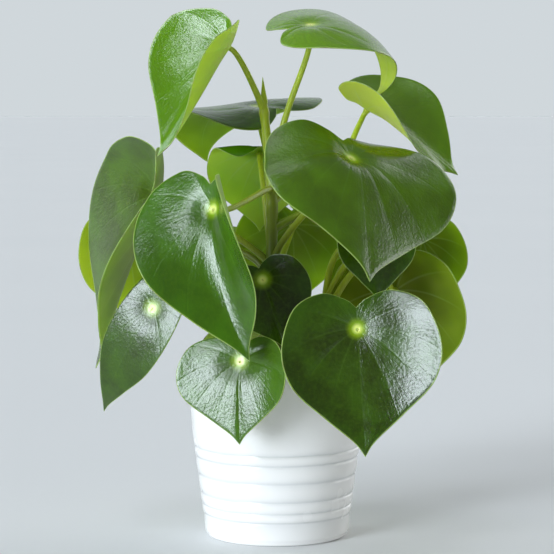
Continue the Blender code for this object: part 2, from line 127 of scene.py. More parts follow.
# The waves round a margin: how many there are and the height of each, as a share of the whole.
WAVES = ((3, 0.5), (5, 0.35), (8, 0.25))
LEAF_SEED = 100
NORMAL_STEP = 0.0002
PETIOLE_TOP_RADIUS = 0.0016
PETIOLE_FOOT_RADIUS = 0.0022
PETIOLE_NECK = 0.003
PETIOLE_POINTS = 40
PETIOLE_SIDES = 16
PETIOLE_SINK = 0.4
PETIOLE_TURN = 0.2
NECK_SHARES = (0.35, 0.6, 0.8, 1.0)
SHEATH_SWELL = 0.0009
SHEATH_SHARE = 0.07
FLARE_SWELL = 0.0008
FLARE_SHARE = 0.045
STEM_ROOT_DEPTH = 0.012
STEM_POINTS = 130
STEM_SAMPLES = 60
STEM_SIDES = 28
STEM_TOP_YOUTH = 0.75
STEM_BLUSH = 0.25
NODE_SWELL = 0.0006
NODE_REACH = 0.0028
BUD_POINTS = 30
BUD_YOUTH = 0.9

# Veins run out from the spot every so many degrees and curve towards the tip.
VEIN_SPACING = 31.0
VEIN_BEND = 0.45
VEIN_COUNT = 13
CREASE_DEPTHS = (0.0, 0.0004)
CREASE_WIDTH = 0.16
CREASE_START = (0.08, 0.4)
CREASE_END = (1.0, 0.7)
BOWL_RADIUS = 0.013


@dataclass
class Stem:
    """A fleshy stem through the given points, from the soil's top to its own."""

    points: tuple
    foot_radius: float
    top_radius: float


@dataclass
class Leaf:
    """One blade and its petiole. Directions are at the spot, where the petiole meets the blade's underside.
    Left and right are as seen on the upper side with the tip pointing down. The last four values are looks:
    how light and how yellow the blade is and how red its petiole is, each from 0 to 1, and how far the blade
    sinks round its spot, in metres. How light a blade is stands for its own colour, except that on
    leaf_inner_front it is painted shade and on leaf_right_back it is partly painted shade."""

    name: str
    spot: tuple
    tip_way: tuple
    face_way: tuple
    reach: float
    half_width: float
    stem: str
    height: float
    arch: float = 30.0
    hook: float = 0.0
    arch_back: float = 15.0
    fold: float = 0.0
    cup_left: float = 10.0
    cup_right: float = 10.0
    twist: float = 0.0
    sweep: float = 0.0
    knee: float = 0.0
    lean: float = 0.0
    uneven: float = 0.0
    lobes: float = 1.0
    right_lobe: float = 1.0
    rise: float = 0.35
    via: tuple = ()
    tone: float = 0.4
    yellow: float = 0.3
    blush: float = 0.2
    bowl: float = 0.0015


STEMS = {
    "main": Stem(
        ((0.001, 0.004, SOIL_TOP), (-0.003, 0.002, 0.150), (-0.0035, 0.0, 0.215), (-0.0085, 0.0, 0.268)),
        0.0042,
        0.0026,
    ),
    "right": Stem(
        ((0.024, 0.012, SOIL_TOP), (0.027, 0.010, 0.120), (0.029, 0.012, 0.140)),
        0.0036,
        0.0024,
    ),
}

BUD_LINE = ((-0.0082, 0.0, 0.262), (-0.0081, 0.0, 0.269), (-0.0084, 0.0, 0.276), (-0.0088, 0.0, 0.284))
BUD_RADIUS = 0.0025
# Along the bud: the share of its length, and how much of its radius it has there.
BUD_SHAPE = ((0.0, 0.6), (0.3, 1.0), (0.6, 0.62), (1.0, 0.05))

LEAVES = (
    Leaf("leaf_upper_left", (-0.0315, -0.020, 0.303), (-0.50, -0.05, -0.86), (-0.80, -0.56, 0.10),
         0.080, 0.0425, "main", 0.262, fold=30, cup_left=15, cup_right=35, arch=-22, arch_back=-30, sweep=-22,
         lobes=0.85, rise=0.03, tone=1.0, yellow=0.55, blush=0.15, bowl=0.001),
    Leaf("leaf_top", (0.0205, -0.008, 0.3165), (0.92, 0.25, 0.10), (-0.10, -0.33, 0.94),
         0.090, 0.042, "main", 0.205, arch=115, hook=42, arch_back=28, cup_left=-12, cup_right=-8, lobes=0.95,
         rise=0.5, tone=1.0, yellow=0.8, blush=0.1),
    Leaf("leaf_front_right", (0.0445, -0.060, 0.237), (0.32, -0.72, -0.58), (0.47, -0.49, 0.73),
         0.083, 0.065, "main", 0.165, arch=5, arch_back=4, cup_left=-36, cup_right=2, twist=12, knee=27,
         lean=-24, uneven=-0.09, lobes=1.12, rise=0.2, tone=0.45, yellow=0.55, blush=0.3, bowl=0.0025),
    Leaf("leaf_upper_right", (0.0575, 0.022, 0.2655), (0.84, 0.00, -0.54), (0.58, -0.13, 0.80),
         0.070, 0.050, "main", 0.190, fold=20, cup_left=0, cup_right=10, arch=12, arch_back=35, twist=-33,
         lobes=0.95, via=((0.036, 0.008, 0.214), (0.047, 0.014, 0.245)), tone=1.0, yellow=0.9, blush=0.1),
    Leaf("leaf_back_high", (-0.012, 0.040, 0.267), (-0.75, 0.62, 0.10), (0.08, -0.32, 0.94),
         0.078, 0.057, "main", 0.214, arch=85, hook=45, arch_back=22, cup_left=-15, cup_right=8, twist=-20,
         lobes=1.15, tone=0.45, yellow=0.3, blush=0.1),
    Leaf("leaf_back_centre", (-0.011, 0.043, 0.236), (0.00, 0.15, -0.99), (0.00, 0.97, 0.15),
         0.050, 0.033, "main", 0.150, arch=5, arch_back=140, cup_left=-5, cup_right=-5, lobes=1.25,
         tone=1.0, yellow=0.1, blush=0.3),
    Leaf("leaf_left", (-0.0750, 0.004, 0.2115), (-0.36, 0.10, -0.92), (-0.85, -0.40, 0.34),
         0.117, 0.060, "main", 0.166, fold=25, cup_left=-2, cup_right=8, arch=5, arch_back=-42, twist=-20,
         lobes=1.15, rise=0.1, tone=0.28, yellow=0.5, blush=0.3),
    Leaf("leaf_left_back", (-0.0978, 0.074, 0.1846), (0.10, 0.20, -0.97), (-0.44, 0.84, 0.30),
         0.066, 0.036, "main", 0.150, arch=10, arch_back=10, cup_left=-10, cup_right=-10,
         tone=0.7, yellow=0.8, blush=0.3),
    Leaf("leaf_low_left", (-0.0759, -0.030, 0.144), (-0.53, 0.09, -0.84), (-0.35, -0.93, 0.10),
         0.083, 0.0195, "main", 0.125, arch=45, arch_back=15, cup_left=0, cup_right=0, uneven=-0.05,
         tone=0.22, yellow=0.2, blush=0.9),
    Leaf("leaf_front_left", (-0.0384, -0.069, 0.2062), (0.03, -0.24, -0.97), (-0.62, -0.74, 0.25),
         0.092, 0.0455, "main", 0.214, fold=20, cup_left=8, cup_right=55, arch=20, arch_back=-10, twist=40,
         sweep=-18, uneven=0.04, lobes=0.95, right_lobe=0.3, rise=0.08, tone=0.48, yellow=0.1, blush=0.5,
         bowl=0.0022),
    Leaf("leaf_low_right", (0.0466, -0.090, 0.1375), (0.06, -0.14, -0.98), (-0.06, -0.97, 0.20),
         0.074, 0.0475, "right", 0.125, arch=-6, arch_back=8, cup_left=36, cup_right=24, uneven=-0.03,
         tone=0.1, yellow=0.15, blush=0.6),
    # Its low lightness is partly painted shade: the underside is coloured darker for the dim place it hangs
    # in behind the plant.
    Leaf("leaf_right_back", (0.075, 0.020, 0.151), (0.12, 0.15, -0.98), (0.35, 0.90, 0.20),
         0.076, 0.045, "right", 0.130, arch=10, arch_back=10, cup_left=-10, cup_right=-10, lobes=1.2,
         via=((0.039, 0.005, 0.152), (0.050, 0.003, 0.166), (0.063, 0.003, 0.168)),
         tone=0.05, yellow=0.7, blush=0.6),
    Leaf("leaf_right_high", (0.0935, 0.040, 0.1825), (0.25, 0.20, -0.94), (0.40, 0.85, 0.30),
         0.050, 0.028, "right", 0.135, arch=10, arch_back=10, cup_left=-10, cup_right=-10,
         via=((0.036, 0.012, 0.172), (0.062, 0.020, 0.194)), tone=0.3, yellow=0.5, blush=0.5),
    Leaf("leaf_inner_right", (0.060, -0.020, 0.192), (0.04, -0.20, -0.97), (0.10, -0.95, 0.20),
         0.045, 0.024, "right", 0.130, arch=10, arch_back=10, cup_left=10, cup_right=10,
         tone=0.1, yellow=0.1, blush=0.7),
    Leaf("leaf_back_low_right", (0.0578, 0.050, 0.1600), (0.00, 0.25, -0.97), (0.00, 0.95, 0.25),
         0.044, 0.026, "right", 0.125, arch=10, arch_back=10, cup_left=-10, cup_right=-10,
         via=((0.029, 0.030, 0.142), (0.043, 0.045, 0.158)), tone=0.35, yellow=0.4, blush=0.7),
    # Its lightness of 0 is painted shade: the leaf sits in the shade inside the plant and is coloured dark
    # for it.
    Leaf("leaf_inner_front", (-0.0088, -0.030, 0.1615), (0.30, -0.25, -0.90), (-0.05, -0.90, 0.35),
         0.044, 0.027, "main", 0.150, arch=10, arch_back=10, cup_left=5, cup_right=5,
         tone=0.0, yellow=0.1, blush=0.4),
    Leaf("leaf_low_front", (-0.0221, -0.070, 0.1164), (-0.02, -0.20, -0.97), (-0.30, -0.92, 0.20),
         0.049, 0.0352, "main", 0.118, arch=10, arch_back=10, cup_left=5, cup_right=32, uneven=0.09,
         tone=0.4, yellow=0.2, blush=0.6),
    Leaf("leaf_back_middle", (0.010, 0.064, 0.190), (0.05, 0.25, -0.97), (0.00, 0.95, 0.30),
         0.056, 0.038, "main", 0.140, arch=10, arch_back=10, cup_left=-10, cup_right=-10, tone=0.4),
    Leaf("leaf_behind_right", (0.040, 0.062, 0.215), (0.25, 0.75, -0.60), (0.20, 0.55, 0.80),
         0.058, 0.038, "main", 0.200, arch=35, arch_back=10, cup_left=-10, cup_right=-10, tone=0.6),
    Leaf("leaf_behind_left", (-0.023, 0.089, 0.180), (-0.15, 0.75, -0.62), (-0.15, 0.60, 0.76),
         0.056, 0.036, "main", 0.145, arch=30, arch_back=10, cup_left=-10, cup_right=-10,
         via=((-0.027, 0.033, 0.152), (-0.034, 0.066, 0.165)), tone=0.5),
    Leaf("leaf_behind_low", (0.008, 0.088, 0.126), (0.05, 0.60, -0.80), (0.00, 0.80, 0.60),
         0.050, 0.036, "main", 0.125, arch=20, arch_back=10, cup_left=-10, cup_right=-10,
         tone=0.35, blush=0.5),
    Leaf("leaf_behind_low_right", (0.066, 0.080, 0.128), (0.40, 0.60, -0.70), (0.30, 0.60, 0.70),
         0.054, 0.035, "right", 0.120, arch=20, arch_back=10, cup_left=-10, cup_right=-10,
         via=((0.027, 0.035, 0.124), (0.045, 0.062, 0.130)), tone=0.3, blush=0.6),
    Leaf("leaf_behind_low_left", (-0.022, 0.073, 0.118), (-0.20, 0.65, -0.72), (-0.20, 0.60, 0.78),
         0.044, 0.028, "main", 0.116, arch=20, arch_back=10, cup_left=-10, cup_right=-10,
         tone=0.6, blush=0.6),
)

# The heart outline of one half, from tip to notch: share of the half width, share of the reach.
OUTLINE = (
    (0.0, 1.0), (0.13, 0.885), (0.48, 0.69), (0.90, 0.44), (1.01, 0.15),
    (0.82, -0.16), (0.44, -0.285), (0.14, -0.235), (0.0, -0.165),
)
LOBE_SHARE = 0.285


def spline(points, at):
    """Points of a smooth curve through the given ones. at holds places along it from 0 to 1, of which the
    stretch from each given point to the next takes an equal share."""
    keys = np.array(points, float)
    padded = np.vstack((2 * keys[0] - keys[1], keys, 2 * keys[-1] - keys[-2]))
    place = np.clip(np.asarray(at, float), 0, 1) * (len(keys) - 1)
    first = np.minimum(place.astype(int), len(keys) - 2)
    t = (place - first)[:, None]
    a, b, c, d = (padded[first + shift] for shift in range(4))
    return 0.5 * (2 * b + (c - a) * t + (2 * a - 5 * b + 4 * c - d) * t**2 + (3 * b - a - 3 * c + d) * t**3)


def smooth_step(low, high, value):
    """From 0 at low to 1 at high with soft ends. low may be the greater of the two."""
    share = np.clip((value - low) / (high - low), 0, 1)
    return share * share * (3 - 2 * share)


def unit(vectors):
    return vectors / np.maximum(np.linalg.norm(vectors, axis=-1, keepdims=True), 1e-12)


# Shader graphs.


class Graph:
    """Short ways to add and link the nodes of one material or world."""

    def __init__(self, tree):
        self.tree = tree
        self.tree.nodes.clear()

    def node(self, kind, inputs=None, **settings):
        made = self.tree.nodes.new(kind)
        for name, value in settings.items():
            setattr(made, name, value)
        for name, value in (inputs or {}).items():
            self.put(made.inputs[name], value)
        return made

    def put(self, socket, value):
        if isinstance(value, bpy.types.NodeSocket):
            self.tree.links.new(value, socket)
        elif value is not None:
            socket.default_value = value

    def math(self, operation, *values, clamp=False):
        made = self.node("ShaderNodeMath", operation=operation, use_clamp=clamp)
        for socket, value in zip(made.inputs, values):
            self.put(socket, value)
        return made.outputs[0]

    def ramp(self, value, low, high, to_low=0.0, to_high=1.0):
        """value's place between low and high, smoothed, as a number from to_low to to_high."""
        inputs = {"Value": value, "From Min": low, "From Max": high, "To Min": to_low, "To Max": to_high}
        made = self.node("ShaderNodeMapRange", inputs, interpolation_type="SMOOTHSTEP")
        return made.outputs["Result"]

    def mix(self, share, first, second, blend="MIX"):
        """Two colours mixed. The node's sockets go by number, because several of them share a name."""
        made = self.node("ShaderNodeMix", data_type="RGBA", blend_type=blend)
        self.put(made.inputs[0], share)
        self.put(made.inputs[6], first)
        self.put(made.inputs[7], second)
        return made.outputs[2]

    def noise(self, vector, scale, detail=3.0, roughness=0.5):
        inputs = {"Vector": vector, "Scale": scale, "Detail": detail, "Roughness": roughness}
        return self.node("ShaderNodeTexNoise", inputs).outputs["Fac"]

    def scaled(self, vector, factors):
        made = self.node("ShaderNodeVectorMath", operation="MULTIPLY")
        self.put(made.inputs[0], vector)
        self.put(made.inputs[1], factors)
        return made.outputs[0]

    def attribute(self, name):
        return self.node("ShaderNodeAttribute", attribute_name=name)

    def bump(self, height, distance, strength=1.0):
        inputs = {"Height": height, "Distance": distance, "Strength": strength}
        return self.node("ShaderNodeBump", inputs).outputs["Normal"]


def colour(red, green, blue):
    return (red, green, blue, 1.0)


def new_material(name, build):
    """A material whose Principled shader takes the values and sockets that build gives."""
    made = bpy.data.materials.new(name)
    made.use_nodes = True
    graph = Graph(made.node_tree)
    shader = graph.node("ShaderNodeBsdfPrincipled", build(graph))
    graph.node("ShaderNodeOutputMaterial", {"Surface": shader.outputs[0]})
    return made


def vein_field(graph):
    """Sockets for a blade's own plan: its x and y in metres, its share from spot to margin, its distance
    from the spot, its fanned-out angle, and the distance to the nearest vein."""
    plan = graph.attribute("plan").outputs["Vector"]
    flat = graph.scaled(plan, (1.0, 1.0, 0.0))
    split = graph.node("ShaderNodeSeparateXYZ", {"Vector": plan}).outputs
    x, y, share = split[0], split[1], split[2]
    away = graph.math("SQRT", graph.math("ADD", graph.math("MULTIPLY", x, x), graph.math("MULTIPLY", y, y)))
    angle = graph.math("ARCTAN2", x, y)
    facing = graph.math("POWER", graph.math("COSINE", graph.math("MULTIPLY", angle, 0.5)), 2.0)
    bend = graph.math("MULTIPLY", graph.math("MULTIPLY", share, VEIN_BEND), facing)
    fanned = graph.math("MULTIPLY", angle, graph.math("ADD", bend, 1.0))
    turn = graph.math("DIVIDE", fanned, math.radians(VEIN_SPACING))
    off = graph.math("ABSOLUTE", graph.math("SUBTRACT", turn, graph.math("ROUND", turn)))
    gap = graph.math("MULTIPLY", graph.math("MULTIPLY", off, math.radians(VEIN_SPACING)), away)
    return flat, share, away, fanned, gap


def streak_vector(graph, fanned, away, across, along):
    """Coordinates in which noise becomes streaks that run out from the spot."""
    return graph.node(
        "ShaderNodeCombineXYZ",
        {"X": graph.math("MULTIPLY", fanned, across), "Y": graph.math("MULTIPLY", away, along)},
    ).outputs[0]


def wrinkles(graph, plan, fanned, away):
    """The fine pebbled crinkle of a waxy blade, with soft streaks that run out from the spot."""
    streaks = graph.noise(streak_vector(graph, fanned, away, 20.0, 110.0), 1.0, 2.0, 0.5)
    streaks = graph.math("MULTIPLY", streaks, graph.ramp(away, 0.003, 0.009))
    dents = graph.noise(plan, 220.0, 2.0, 0.5)
    grain = graph.noise(plan, 620.0, 3.0, 0.6)
    height = graph.math("ADD", graph.math("MULTIPLY", streaks, 0.6), graph.math("MULTIPLY", dents, 0.8))
    return graph.math("ADD", height, graph.math("MULTIPLY", grain, 0.75))


def upper_side(graph):
    """Waxy green with a pale spot, faint veins, a thin pale margin and a crinkled gloss."""
    plan, share, away, fanned, gap = vein_field(graph)
    # How light the blade is; on some leaves this is painted shade.
    tone = graph.attribute("tone").outputs["Fac"]
    yellow = graph.attribute("yellow").outputs["Fac"]
    dark = graph.mix(yellow, colour(0.016, 0.036, 0.001), colour(0.046, 0.070, 0.001))
    light = graph.mix(yellow, colour(0.060, 0.200, 0.002), colour(0.150, 0.290, 0.002))
    patches = graph.noise(plan, 38.0, 2.0)
    level = graph.math("ADD", tone, graph.ramp(patches, 0.3, 0.7, -0.16, 0.16), clamp=True)
    green = graph.mix(level, dark, light)
    flecks = graph.noise(plan, 420.0, 3.0, 0.6)
    green = graph.mix(graph.ramp(flecks, 0.35, 0.75, 0.0, 0.12), green, colour(0.10, 0.22, 0.004))
    vein = graph.math("MULTIPLY", graph.ramp(gap, 0.0009, 0.0001), graph.ramp(share, 0.9, 0.3, 0.0, 1.0))
    green = graph.mix(graph.math("MULTIPLY", vein, 0.08), green, colour(0.16, 0.32, 0.04))
    halo = graph.ramp(away, 0.0078, 0.0016)
    green = graph.mix(graph.math("MULTIPLY", halo, 0.85), green, colour(0.30, 0.48, 0.006))
    core = graph.ramp(away, 0.0040, 0.0008)
    green = graph.mix(core, green, colour(0.78, 0.86, 0.22))
    margin = graph.ramp(share, 0.990, 0.998)
    green = graph.mix(graph.math("MULTIPLY", margin, 0.7), green, colour(0.30, 0.42, 0.09))
    dip = graph.math("MULTIPLY", graph.ramp(gap, 0.0012, 0.0, 0.0, -0.2), graph.ramp(away, 0.004, 0.010))
    height = graph.math("ADD", wrinkles(graph, plan, fanned, away), dip)
    return {
        "Base Color": green,
        "Roughness": graph.ramp(patches, 0.25, 0.75, 0.14, 0.19),
        "Specular IOR Level": 0.62,
        "Subsurface Weight": 0.25,
        "Subsurface Radius": (1.0, 1.6, 0.2),
        "Subsurface Scale": 0.0016,
        "Normal": graph.bump(height, 0.00020),
    }


def under_side(graph):
    """Paler and matt, with faint whitish veins, and thin enough for light to come through."""
    plan, share, _, _, gap = vein_field(graph)
    # How light the blade is; on some leaves this is painted shade.
    tone = graph.attribute("tone").outputs["Fac"]
    yellow = graph.attribute("yellow").outputs["Fac"]
    dark = graph.mix(yellow, colour(0.085, 0.140, 0.004), colour(0.160, 0.190, 0.002))
    light = graph.mix(yellow, colour(0.330, 0.480, 0.070), colour(0.480, 0.560, 0.030))
    patches = graph.noise(plan, 30.0, 2.0)
    level = graph.math("ADD", tone, graph.ramp(patches, 0.3, 0.7, -0.12, 0.12), clamp=True)
    green = graph.mix(level, dark, light)
    vein = graph.math("MULTIPLY", graph.ramp(gap, 0.0010, 0.0001), graph.ramp(share, 1.0, 0.4, 0.10, 1.0))
    green = graph.mix(graph.math("MULTIPLY", vein, 0.25), green, colour(0.40, 0.52, 0.18))
    margin = graph.ramp(share, 0.985, 0.997)
    green = graph.mix(graph.math("MULTIPLY", margin, 0.6), green, colour(0.46, 0.57, 0.20))
    grain = graph.noise(plan, 500.0, 2.0, 0.6)
    height = graph.math("ADD", graph.math("MULTIPLY", grain, 0.5), graph.ramp(gap, 0.0014, 0.0, 0.0, 0.4))
    return {
        "Base Color": green,
        "Roughness": 0.5,
        "Specular IOR Level": 0.22,
        "Subsurface Weight": 0.9,
        "Subsurface Radius": (1.0, 1.3, 0.12),
        "Subsurface Scale": 0.0026,
        "Normal": graph.bump(height, 0.00012),
    }


def margin_edge(graph):
    """The rounded edge, a thin pale yellow-green line that is a little brown in places."""
    plan = graph.scaled(graph.attribute("plan").outputs["Vector"], (1.0, 1.0, 0.0))
    patches = graph.noise(plan, 90.0, 2.0)
    return {
        "Base Color": graph.mix(
            graph.ramp(patches, 0.45, 0.75), colour(0.30, 0.42, 0.10), colour(0.17, 0.16, 0.04)
        ),
        "Roughness": 0.4,
        "Subsurface Weight": 0.3,
        "Subsurface Radius": (1.0, 1.2, 0.2),
        "Subsurface Scale": 0.0008,
    }


def stalk(graph):
    """Smooth fleshy green, lighter towards the blade, with red-brown at the foot of the old petioles."""
    split = graph.node("ShaderNodeSeparateXYZ", {"Vector": graph.attribute("plan").outputs["Vector"]}).outputs
    along, blush = split[0], split[1]
    place = graph.node("ShaderNodeNewGeometry").outputs["Position"]
    young = graph.mix(graph.ramp(along, 0.25, 0.72), colour(0.080, 0.160, 0.008), colour(0.46, 0.58, 0.030))
    streaks = graph.noise(graph.scaled(place, (900.0, 900.0, 60.0)), 1.0, 3.0)
    green = graph.mix(graph.ramp(streaks, 0.35, 0.7, 0.0, 0.25), young, colour(0.080, 0.130, 0.010))
    redness = graph.math("MULTIPLY", blush, graph.ramp(along, 1.0, 0.25), clamp=True)
    brown = graph.mix(graph.ramp(streaks, 0.3, 0.7), colour(0.085, 0.028, 0.010), colour(0.150, 0.062, 0.016))
    return {
        "Base Color": graph.mix(redness, green, brown),
        "Roughness": 0.36,
        "Specular IOR Level": 0.4,
        "Subsurface Weight": 0.4,
        "Subsurface Radius": (1.0, 1.3, 0.15),
        "Subsurface Scale": 0.0015,
        "Normal": graph.bump(streaks, 0.0001),
    }


def glaze(graph):
    """Thick glossy white glaze, a touch cool, darkened in the grooves by painted shade, and not quite even.
    """
    place = graph.node("ShaderNodeNewGeometry").outputs["Position"]
    depth = graph.attribute("groove").outputs["Fac"]
    clouds = graph.noise(place, 22.0, 3.0)
    white = graph.mix(clouds, colour(0.94, 0.92, 0.91), colour(0.97, 0.955, 0.945))
    # Painted shade: the glaze turns grey where a groove is deep, standing for the shade that falls in the
    # grooves.
    groove_shaded = graph.mix(graph.math("MULTIPLY", depth, 0.55), white, colour(0.60, 0.62, 0.63))
    waves = graph.noise(graph.scaled(place, (1.0, 1.0, 2.2)), 48.0, 2.0)
    specks = graph.noise(place, 700.0, 2.0)
    height = graph.math("ADD", waves, graph.math("MULTIPLY", specks, 0.06))
    return {
        "Base Color": groove_shaded,
        "Roughness": graph.ramp(clouds, 0.3, 0.7, 0.20, 0.28),
        "Coat Weight": 0.5,
        "Coat Roughness": 0.12,
        "Normal": graph.bump(height, 0.0005, strength=0.5),
    }


def earth(graph):
    """Dark red-brown potting soil with paler fibres and grains."""
    place = graph.node("ShaderNodeNewGeometry").outputs["Position"]
    shade = graph.attribute("shade").outputs["Fac"]
    grain = graph.noise(place, 900.0, 4.0, 0.7)
    clumps = graph.noise(place, 160.0, 3.0)
    brown = graph.mix(clumps, colour(0.014, 0.007, 0.004), colour(0.060, 0.027, 0.014))
    brown = graph.mix(graph.math("MULTIPLY", shade, 0.6), brown, colour(0.14, 0.075, 0.038))
    brown = graph.mix(graph.ramp(grain, 0.62, 0.78, 0.0, 0.5), brown, colour(0.17, 0.11, 0.065))
    return {
        "Base Color": brown,
        "Roughness": 0.95,
        "Specular IOR Level": 0.2,
        "Normal": graph.bump(graph.math("ADD", grain, clumps), 0.0006),
    }


UPPER = new_material("waxy upper side", upper_side)
UNDER = new_material("pale underside", under_side)
MARGIN = new_material("pale margin", margin_edge)
STALK = new_material("fleshy stalk", stalk)
GLAZE = new_material("white glaze", glaze)
EARTH = new_material("potting soil", earth)


# Mesh helpers.


def add_piece(name, points, faces, finishes, face_finish=None, attributes=None):
    """A smooth mesh object. attributes maps a name to one number or one vector for each point."""
    mesh = bpy.data.meshes.new(name)
    mesh.from_pydata(np.asarray(points).tolist(), [], faces)
    for finish in finishes:
        mesh.materials.append(finish)
    if face_finish is not None:
        mesh.polygons.foreach_set("material_index", np.asarray(face_finish, np.int32))
    for key, values in (attributes or {}).items():
        values = np.asarray(values, np.float32)
        kind = "FLOAT_VECTOR" if values.ndim == 2 else "FLOAT"
        layer = mesh.attributes.new(key, kind, "POINT")
        layer.data.foreach_set("vector" if values.ndim == 2 else "value", values.ravel())
    mesh.shade_smooth()
    mesh.update()
    made = bpy.data.objects.new(name, mesh)
    bpy.context.scene.collection.objects.link(made)
    return made


def dress(piece, slot, *nodes):
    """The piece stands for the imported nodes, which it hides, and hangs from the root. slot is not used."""
    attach(piece, "root")
    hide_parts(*nodes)


def rings_to_faces(start, rings, sides):
    """Quads between rings of points that follow each other from start, each ring closed on itself."""
    faces = []
    for ring in range(rings - 1):
        for side in range(sides):
            following = (side + 1) % sides
            low, high = start + ring * sides, start + (ring + 1) * sides
            faces.append((low + side, low + following, high + following, high + side))
    return faces


def tube(line, radii, sides):
    """Points and faces of a closed round tube along a line, with no twist along it."""
    line = np.asarray(line, float)
    ways = unit(np.gradient(line, axis=0))
    aside = unit(np.cross(ways[0], (0.0, 1.0, 0.0) if abs(ways[0][1]) < 0.9 else (1.0, 0.0, 0.0)))
    angles = np.linspace(0, math.tau, sides, endpoint=False)
    points = []
    for place, way, radius in zip(line, ways, radii):
        aside = unit(aside - way * np.dot(aside, way))
        across = np.cross(way, aside)
        ring = np.outer(np.cos(angles), aside) + np.outer(np.sin(angles), across)
        points.append(place + ring * radius)
    points = np.vstack(points)
    faces = rings_to_faces(0, len(line), sides)
    faces.append(tuple(reversed(range(sides))))
    faces.append(tuple(len(points) - sides + side for side in range(sides)))
    return points, faces


# The blades.


def outline(leaf, spokes):
    """Points all round the blade's flat heart outline, in metres from its spot."""
    half = spokes // 2
    one_side = spline(OUTLINE, np.linspace(0, 1, half + 1))
    other_side = one_side[1:-1][::-1] * (-1, 1)
    x, y = np.vstack((one_side, other_side)).T
    y = np.where(y < 0, y * leaf.lobes, y)
    notch = OUTLINE[-1][1] * leaf.lobes
    y = np.where((x < 0) & (y < notch), notch + (y - notch) * leaf.right_lobe, y)
    x = x * (1 + leaf.uneven * np.sign(x))
    return np.stack((x * leaf.half_width, y * leaf.reach), -1)


def walk(distance, turn):
    """How far along and up a line goes that turns by turn(distance) degrees and keeps its true length."""
    shares = (np.arange(ARC_STEPS) + 0.5) / ARC_STEPS
    angles = np.radians(turn(distance[..., None] * shares))
    return distance * np.cos(angles).mean(-1), distance * np.sin(angles).mean(-1)


def axes_of(leaf):
    """The blade's own axes at the spot: to its left half, to its tip, and out of its upper side."""
    along = Vector(leaf.tip_way).normalized()
    face = Vector(leaf.face_way)
    face = (face - face.dot(along) * along).normalized()
    return np.array((along.cross(face), along, face))


def bent(leaf, x, y):
    """Where the flat blade's points (x across, y towards the tip, in metres) lie once it is bent to shape."""
    back = leaf.arch_back + leaf.lean * np.tanh(x / (LEAN_SHARE * leaf.half_width))

    def along_turn(distance):
        share = np.abs(distance / leaf.reach)
        towards_tip = -leaf.arch * share**1.4 - leaf.hook * share**4
        towards_tip = towards_tip - leaf.knee * smooth_step(0, KNEE_SHARE, share)
        bend = back if np.ndim(distance) == np.ndim(back) else back[..., None]
        return np.where(distance > 0, towards_tip, bend * share / LOBE_SHARE)

    def across_turn(distance):
        share = np.abs(distance / leaf.half_width)
        cup = np.where(distance > 0, leaf.cup_left, leaf.cup_right)
        return np.sign(distance) * (leaf.fold * np.minimum(share / FOLD_SHARE, 1) + cup * share)

    ahead, lift = walk(y, along_turn)
    tangent = np.radians(along_turn(y))
    aside, rise = walk(x, across_turn)
    roll = np.radians(leaf.twist * y / leaf.reach)
    side = aside * np.cos(roll) - rise * np.sin(roll)
    out = aside * np.sin(roll) + rise * np.cos(roll)
    side = side + 0.5 * leaf.reach * math.radians(leaf.sweep) * (y / leaf.reach) ** 2
    local = np.stack((side, ahead - out * np.sin(tangent), lift + out * np.cos(tangent)), -1)
    return local @ axes_of(leaf) + np.array(leaf.spot)


def normals(leaf, x, y):
    """The way the bent blade's upper side looks at each point."""
    across = bent(leaf, x + NORMAL_STEP, y) - bent(leaf, x - NORMAL_STEP, y)
    along = bent(leaf, x, y + NORMAL_STEP) - bent(leaf, x, y - NORMAL_STEP)
    return unit(np.cross(across, along))


def quilting(x, y, share, depths):
    """The blade dips along its veins, each to its own depth."""
    angle = np.arctan2(x, y)
    fanned = angle * (1 + VEIN_BEND * share * np.cos(angle / 2) ** 2)
    turn = fanned / math.radians(VEIN_SPACING)
    off = np.abs(turn - np.round(turn))
    depth = depths[np.round(turn).astype(int) % len(depths)]
    fade = smooth_step(*CREASE_START, share) * smooth_step(*CREASE_END, share)
    return -depth * np.exp(-((off / CREASE_WIDTH) ** 2)) * fade


def bowl(x, y, depth):
    """The blade sinks softly round its spot and is a little raised in a ring about it."""
    away = np.hypot(x, y) / BOWL_RADIUS
    return depth * (away**2 - 1) * np.exp(-(away**2))


def margin_wave(leaf, share, spoke, draw):
    """A gentle wave of the blade near its margin, different on each leaf."""
    turn = math.tau * spoke / BLADE_SPOKES
    phases = draw.uniform(0, math.tau, len(WAVES))
    wave = sum(height * np.sin(count * turn + phase) for (count, height), phase in zip(WAVES, phases))
    return WAVE_SHARE * leaf.half_width * wave * share**3


